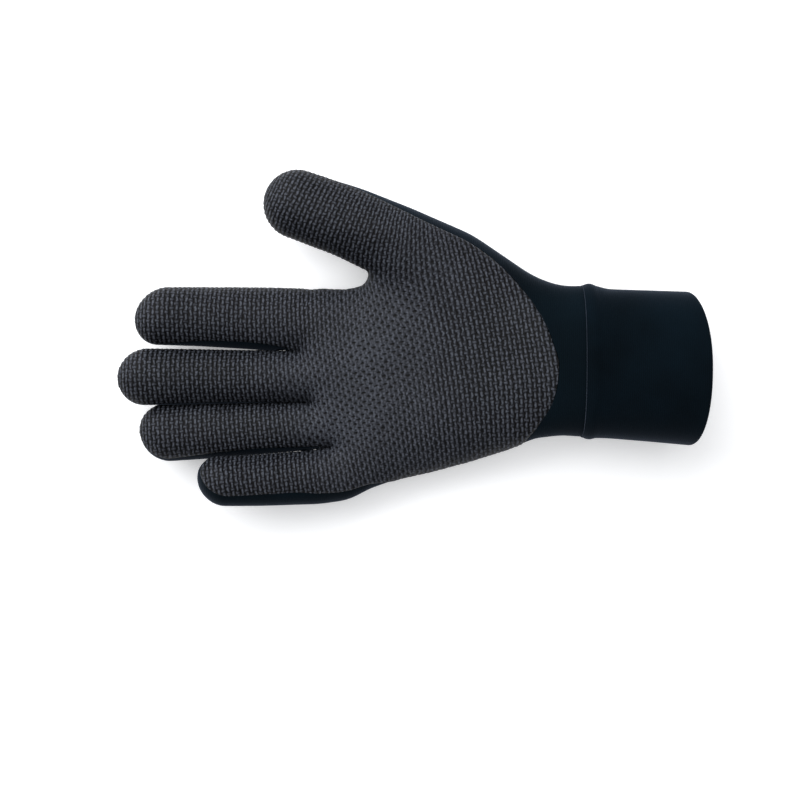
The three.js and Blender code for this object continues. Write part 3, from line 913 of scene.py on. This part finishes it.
def grip_material():
    """Smooth-skin chloroprene rubber, hot-embossed with a plain-weave relief.

    The eye sees a charcoal skin with a soft satin light on the crest of every bar, nearly black pits where
    four yarns meet, and a fine grain from the closed cells under the skin. The light on the crests and the
    dark of the pits and dashes are painted into the base colour from the height of the relief.
    """
    material, tree, shader = new_material("embossed_chloroprene_grip_skin")
    layout = add(tree, "ShaderNodeUVMap", {"uv_map": "weave"})
    parts = add(tree, "ShaderNodeSeparateXYZ", None, layout)
    lead = add(tree, "ShaderNodeAttribute", {"attribute_name": "rows_lead"}).outputs["Fac"]
    height = weave_height(tree, parts.outputs["X"], parts.outputs["Y"], lead)
    place = add(tree, "ShaderNodeTexCoord").outputs["Object"]
    # Cells and dust of the skin, drawn as coarse as they need to show: about 0.9 mm
    grain = add(tree, NOISE, links={"Vector": place, "Scale": 1100.0, "Detail": 3.0, "Roughness": 0.7})
    # Uneven shine where the skin has been handled, about 25 mm
    cloud = add(tree, NOISE, links={"Vector": place, "Scale": 40.0, "Detail": 2.0, "Roughness": 0.5})
    level = height
    for pattern, strength in ((grain, 1.3), (cloud, 0.18)):
        shake = add(tree, MATH, "SUBTRACT", pattern, 0.5)
        level = add(tree, MATH, "MULTIPLY_ADD", shake, strength, level)
    # Base colour follows the relief's height: painted shade in the pits and in the dashes between the rows,
    # and painted highlight on the crests of the bars
    stops = [(0.1, 0x020203), (0.35, 0x0C0E12), (0.6, 0x27292F), (0.8, 0x383B42), (1.0, 0x4B4F58)]
    join(tree, add(tree, "ShaderNodeValToRGB", {"stops": stops}, level), shader.inputs["Base Color"])
    join(tree, add(tree, MATH, "MULTIPLY_ADD", grain, 0.2, 0.48), shader.inputs["Roughness"])
    rough_height = add(tree, MATH, "MULTIPLY_ADD", grain, 0.12, height)
    bump = add(tree, "ShaderNodeBump", links={
        "Height": rough_height, "Strength": 0.55, "Distance": 0.25 * MM})
    join(tree, bump, shader.inputs["Normal"])
    shader.inputs["IOR"].default_value = 1.52
    shader.inputs["Specular IOR Level"].default_value = 0.12
    return material


def jersey_material(name, dark, light, pitch):
    """Nylon jersey laminated on neoprene.

    The eye sees a deep blue-black cloth without gloss, a faint pale sheen where it turns away from
    the eye, and very fine knit courses that run round the hand, one pitch apart in millimetres.
    """
    material, tree, shader = new_material(name)
    place = add(tree, "ShaderNodeTexCoord").outputs["Object"]
    parts = add(tree, "ShaderNodeSeparateXYZ", None, place)
    # The courses drift by up to 0.6 mm, and the wales between them are 1.3 courses apart
    drift = add(tree, NOISE, links={"Vector": place, "Scale": 300.0, "Detail": 2.0})
    along = add(tree, MATH, "MULTIPLY_ADD", drift, 0.6 * MM, parts.outputs["X"])
    around = add(tree, MATH, "SUBTRACT", parts.outputs["Y"], parts.outputs["Z"])
    course, wale = (
        add(tree, MATH, "SINE", add(tree, MATH, "MULTIPLY", run, 2 * math.pi / (step * MM)))
        for run, step in ((along, pitch), (around, 1.3 * pitch)))
    rows = add(tree, MATH, "MULTIPLY", course, 0.5)
    loops = add(tree, MATH, "MULTIPLY_ADD", add(tree, MATH, "MULTIPLY", course, wale), 0.35, rows)
    # Loose fibre ends, about 0.3 mm, and uneven dye, about 35 mm
    fuzz = add(tree, NOISE, links={"Vector": place, "Scale": 3500.0, "Detail": 2.0, "Roughness": 0.7})
    cloud = add(tree, NOISE, links={"Vector": place, "Scale": 28.0, "Detail": 3.0})
    knit = add(tree, MATH, "MULTIPLY_ADD", loops, 0.16, cloud)
    level = add(tree, MATH, "MULTIPLY_ADD", add(tree, MATH, "SUBTRACT", fuzz, 0.5), 0.7, knit)
    stops = [(0.15, dark), (0.85, light)]
    join(tree, add(tree, "ShaderNodeValToRGB", {"stops": stops}, level), shader.inputs["Base Color"])
    height = add(tree, MATH, "MULTIPLY_ADD", fuzz, 0.8, loops)
    bump = add(tree, "ShaderNodeBump", links={"Height": height, "Strength": 0.5, "Distance": 0.08 * MM})
    join(tree, bump, shader.inputs["Normal"])
    shader.inputs["Roughness"].default_value = 0.85
    shader.inputs["IOR"].default_value = 1.5
    shader.inputs["Specular IOR Level"].default_value = 0.03
    shader.inputs["Sheen Weight"].default_value = 0.21
    shader.inputs["Sheen Roughness"].default_value = 0.4
    shader.inputs["Sheen Tint"].default_value = linear(0x98A5BD)
    return material


# Node trees that shape a mesh


def new_shaper(name, sizes, material):
    """A geometry tree with named sizes. Returns it, its group input and a function that closes it."""
    tree = bpy.data.node_groups.new(name, "GeometryNodeTree")
    tree.interface.new_socket("Geometry", in_out="INPUT", socket_type="NodeSocketGeometry")
    for label in sizes:
        tree.interface.new_socket(label, in_out="INPUT", socket_type="NodeSocketFloat")
    tree.interface.new_socket("Geometry", in_out="OUTPUT", socket_type="NodeSocketGeometry")
    start = add(tree, "NodeGroupInput")

    def close(geometry):
        real = add(tree, "GeometryNodeRealizeInstances", links={"Geometry": geometry})
        faced = add(tree, "GeometryNodeSetMaterial", links={
            "Geometry": real.outputs["Geometry"], "Material": material})
        add(tree, "NodeGroupOutput", links={"Geometry": faced.outputs["Geometry"]})

    return tree, start, close


def shaped(piece, tree, sizes):
    """The piece's mesh with the tree applied, as a plain mesh."""
    modifier = piece.modifiers.new(tree.name, "NODES")
    modifier.node_group = tree
    for item in tree.interface.items_tree:
        if item.in_out == "INPUT" and item.name in sizes:
            modifier[item.identifier] = sizes[item.name]
    bpy.context.view_layer.update()
    evaluated = piece.evaluated_get(bpy.context.evaluated_depsgraph_get())
    result = bpy.data.meshes.new_from_object(evaluated)
    piece.modifiers.remove(modifier)
    old = piece.data
    piece.data = result
    bpy.data.meshes.remove(old)
    return piece


def relief_tree(material):
    """Lifts the skin of the panel above the shell, and by the relief of the weave on top of that."""
    tree, start, close = new_shaper("weave_relief", ["Skin Lift", "Relief Height"], material)

    def stored(name, kind):
        return add(tree, "GeometryNodeInputNamedAttribute", {"data_type": kind}, name).outputs["Attribute"]

    parts = add(tree, "ShaderNodeSeparateXYZ", None, stored("layout", "FLOAT_VECTOR"))
    lead = stored("rows_lead", "FLOAT")
    height = weave_height(tree, parts.outputs["X"], parts.outputs["Y"], lead)
    relief = start.outputs["Relief Height"]
    lift = add(tree, MATH, "MULTIPLY_ADD", height, relief, start.outputs["Skin Lift"])
    full = add(tree, MATH, "MULTIPLY", lift, stored("cover", "FLOAT"))
    offset = add(tree, "ShaderNodeVectorMath", "SCALE", links={
        0: stored("outward", "FLOAT_VECTOR"), "Scale": full})
    moved = add(tree, "GeometryNodeSetPosition", links={
        "Geometry": start.outputs["Geometry"], "Offset": offset.outputs["Vector"]})
    close(moved.outputs["Geometry"])
    return tree


# Pieces


PANEL_WALL = 2.4
SKIN_LIFT = 0.3
RELIEF_HEIGHT = 0.32
SEAM_HALF = 0.12
SEAM_ROUNDS = 8
# How far in from its edge the panel reaches its full height
EDGE_EASE = 1.1
# Share of the way that the net's points move to the crests and flanks of the weave
WEAVE_DRAW = 0.6
# The palm is faired behind the fingers from here on, and below the thumb up to here, each over a run
PALM_FROM, PALM_FROM_RUN = 4.0, 26.0
PALM_TO, PALM_TO_RUN = 66.0, 20.0


def grip_panel(hand, points, triangles, depth):
    points, triangles, inside, depth = cut_skin(points, triangles, depth - SEAM_HALF)
    points, triangles, depth = used_only(points, triangles[inside], depth)
    count = len(points)
    border = border_of(triangles, count)
    fine, fine_triangles, middle = refined(points, triangles)
    fine = hand.settle(fine, 1)
    shares = np.clip((depth - FAIR_FROM) / (FAIR_TO - FAIR_FROM), 0, 1)
    behind_fingers = np.clip((points[:, 0] - PALM_FROM) / PALM_FROM_RUN, 0, 1)
    shares *= behind_fingers * np.clip((PALM_TO - points[:, 1]) / PALM_TO_RUN, 0, 1)
    edges = edges_of(triangles)

    def onto_fine(values):
        """The values on the fine net: each new point has the mean of its edge."""
        return np.concatenate([values, (values[edges[:, 0]] + values[edges[:, 1]]) / 2])

    lift = (faired(fine[:count], triangles, shares) - fine[:count])[:, 2]
    fine[:, 2] += onto_fine(lift)
    fine = gathered(fine)
    coarse_normals = normals_of(fine[:count], triangles)
    normals = normals_of(fine, fine_triangles)
    coarse_layout = weave_layout(fine[:count], triangles, coarse_normals)
    layout = onto_fine(coarse_layout)
    cover = np.clip(onto_fine(depth) / EDGE_EASE, 0, 1)
    cover = cover * cover * (3 - 2 * cover)
    fine, layout = drawn_to_weave(fine, fine_triangles, layout, cover)
    inner = fine[:count] - PANEL_WALL * coarse_normals
    inner_start = len(fine)
    rim = []
    for a, b in border.tolist():
        m = int(middle(np.array([a]), np.array([b]))[0])
        ia, ib = inner_start + a, inner_start + b
        rim += [(m, a, ia), (m, ia, ib), (b, m, ib)]
    faces = [*fine_triangles.tolist(), *(triangles[:, ::-1] + inner_start).tolist(), *rim]
    everything = np.concatenate([fine, inner])
    piece = mesh_object("grip_panel", everything, faces)
    put_values(piece.data, "rows_lead", weave_lie(everything)[:, 4])
    put_values(piece.data, "cover", np.concatenate([cover, np.zeros(count)]))
    both = np.concatenate([layout, coarse_layout])
    put_values(piece.data, "layout", np.concatenate([both, np.zeros((len(both), 1))], axis=1))
    put_values(piece.data, "outward", np.concatenate([normals, coarse_normals]))
    put_layout(piece.data, "weave", both)
    material = grip_material()
    sizes = {"Skin Lift": SKIN_LIFT * MM, "Relief Height": RELIEF_HEIGHT * MM}
    shaped(piece, relief_tree(material), sizes)
    for name in ("layout", "outward", "cover"):
        piece.data.attributes.remove(piece.data.attributes[name])
    piece.data.materials.clear()
    piece.data.materials.append(material)
    return piece


SHELL_WALL = 2.7


def shell_of_back(points, triangles, depth):
    points, triangles, inside, depth = cut_skin(points, triangles, depth + SEAM_HALF)
    points, triangles = used_only(points, triangles[~inside])
    whole = gathered(points)
    points, triangles, beyond, _ = cut_skin(whole, triangles, whole[:, 0] - HAND_LENGTH)
    points, triangles = used_only(points, triangles[~beyond])
    normals = normals_of(points, triangles)
    inner = points - SHELL_WALL * normals
    border = border_of(triangles, len(points))
    start = len(points)
    rim = [(b, a, a + start, b + start) for a, b in border.tolist()]
    faces = [*triangles.tolist(), *(triangles[:, ::-1] + start).tolist(), *rim]
    return mesh_object("jersey_shell", np.concatenate([points, inner]), faces)


CUFF_SIDES = 144
# In the scene the cuff nearly meets the shell, so that no light falls between them
CUFF_FRONT_GAP = 0.03
# The rolled joint: how far it stands out, and its middle and half width along the cuff
ROLL_HEIGHT = 0.65
ROLL_PLACE = 3.4
ROLL_HALF = 3.4
# The cuff starts this much lower, tucked behind the edge of the shell, and rises over this length
TUCK_DEPTH = 0.3
TUCK_LENGTH = 2.0
# How much shorter the mouth is at its far edges, on the thumb's side and on the little finger's
MOUTH_THUMB = 3.0
MOUTH_LITTLE = 1.2


def cuff_tube():
    rows = np.array(CUFF_SECTIONS, float)
    fine = np.linspace(0, 1, 61)
    tables = [softened(np.interp(fine, rows[:, 0], rows[:, i]), 10) for i in range(1, 5)]
    slope = math.tan(CUFF_CUT_ANGLE)
    lip = WALL / 2

    def ring(along, inset):
        across, wide, deep, low = (np.interp(along, fine, t) for t in tables)
        half_wide = wide * CUFF_WIDTH / 2
        half_deep = deep * CUFF_DEPTH / 2
        centre = np.array([HAND_LENGTH + SEAM_GAP + along * CUFF_LENGTH, across * CUFF_WIDTH,
                           low * CUFF_DEPTH + half_deep])
        angles = np.linspace(0, 2 * math.pi, CUFF_SIDES, endpoint=False)
        power = 2 / CUFF_SQUARE
        x = np.sign(np.cos(angles)) * np.abs(np.cos(angles)) ** power * (half_wide - inset)
        y = np.sign(np.sin(angles)) * np.abs(np.sin(angles)) ** power * (half_deep - inset)
        z = centre[2] + y
        z = inset + (z - inset + np.sqrt((z - inset) ** 2 + FLOOR_EASE**2)) / 2
        edge = (x / half_wide) ** 2 * np.where(x > 0, MOUTH_THUMB, MOUTH_LITTLE)
        return np.stack([centre[0] + along * (slope * y - edge), centre[1] + x, z], axis=1)

    rings = []
    front = (CUFF_FRONT_GAP - SEAM_GAP) / CUFF_LENGTH
    for along in np.linspace(front, 1 - lip / CUFF_LENGTH, 60):
        from_roll = min(abs(along * CUFF_LENGTH - ROLL_PLACE) / ROLL_HALF, 1)
        tuck = TUCK_DEPTH * max(1 - max(along, 0) * CUFF_LENGTH / TUCK_LENGTH, 0) ** 2
        rings.append(ring(along, tuck - ROLL_HEIGHT * (1 - from_roll**2) ** 2))
    for turn in np.linspace(0, math.pi, 9)[1:-1]:
        along = 1 - lip / CUFF_LENGTH * (1 - math.sin(turn))
        rings.append(ring(along, lip * (1 - math.cos(turn))))
    for along in np.linspace(1 - lip / CUFF_LENGTH, front, 24):
        rings.append(ring(along, WALL))
    faces = []
    total = len(rings)
    for i in range(total):
        j = (i + 1) % total
        for k in range(CUFF_SIDES):
            m = (k + 1) % CUFF_SIDES
            here, there = i * CUFF_SIDES, j * CUFF_SIDES
            faces.append((here + k, here + m, there + m, there + k))
    return mesh_object("knit_cuff", np.concatenate(rings), faces)


hand = Hand()
skin_points, skin_triangles = hand_skin(hand)
skin_depth = evened(panel_depth(hand, skin_points), skin_triangles, SEAM_ROUNDS)

panel = grip_panel(hand, skin_points, skin_triangles, skin_depth)
shell = shell_of_back(skin_points, skin_triangles, skin_depth)
cuff = cuff_tube()

# Deep black with a touch of blue, as the dyed nylon face has it
shell.data.materials.append(jersey_material("nylon_jersey_on_neoprene", 0x03080C, 0x09141B, 0.9))
cuff.data.materials.append(jersey_material("fine_knit_nylon_cuff", 0x03070B, 0x08141C, 0.9))

for piece, node, slot in ((panel, "palm_panel", "grip_neoprene"), (shell, "back_shell", "back_neoprene"),
                          (cuff, "cuff", "cuff_neoprene")):
    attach(piece, "root")
    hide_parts(node)


# Stage


def stage_floor():
    mesh = bpy.data.meshes.new("studio_floor")
    reach = 3.0
    mesh.from_pydata([(-reach, -reach, 0), (reach, -reach, 0), (reach, reach, 0), (-reach, reach, 0)],
                     [], [(0, 1, 2, 3)])
    made = bpy.data.objects.new("studio_floor", mesh)
    bpy.context.scene.collection.objects.link(made)
    # White acrylic over a faint lamp, which softens the shadows beside the glove
    material, tree, shader = new_material("lit_white_acrylic")
    shader.inputs["Base Color"].default_value = linear(0xF7F8FA)
    shader.inputs["Roughness"].default_value = 0.9
    shader.inputs["Emission Color"].default_value = linear(0xFFFFFF)
    shader.inputs["Emission Strength"].default_value = 0.3
    mesh.materials.append(material)


def softbox(name, place, size, power):
    """A soft rectangle of light, turned to the glove."""
    data = bpy.data.lights.new(name, "AREA")
    data.shape = "RECTANGLE"
    data.size, data.size_y = size
    data.energy = power
    made = bpy.data.objects.new(name, data)
    made.location = place
    made.rotation_euler = (-Vector(place)).to_track_quat("-Z", "Y").to_euler()
    bpy.context.scene.collection.objects.link(made)


def studio():
    stage_floor()
    softbox("softbox_above", (0.1, 0.05, 1.6), (2.0, 2.0), 19)
    softbox("softbox_on_the_thumbs_side", (-0.65, 0.85, 0.95), (1.8, 1.2), 26)
    world = bpy.data.worlds.new("pale_studio")
    world.use_nodes = True
    back = world.node_tree.nodes["Background"]
    back.inputs["Color"].default_value = linear(0xF4F6FA)
    back.inputs["Strength"].default_value = 0.14
    bpy.context.scene.world = world
    bpy.context.scene.view_settings.view_transform = "Standard"


def photo_camera():
    """Straight above the glove, with the top of the picture towards the thumb's side."""
    data = bpy.data.cameras.new("photo_camera")
    data.sensor_width = 36
    data.lens = 65.1
    data.clip_start = 0.01
    made = bpy.data.objects.new("photo_camera", data)
    made.location = (-0.0047, -0.028, 0.7)
    bpy.context.scene.collection.objects.link(made)
    bpy.context.scene.camera = made


studio()
photo_camera()
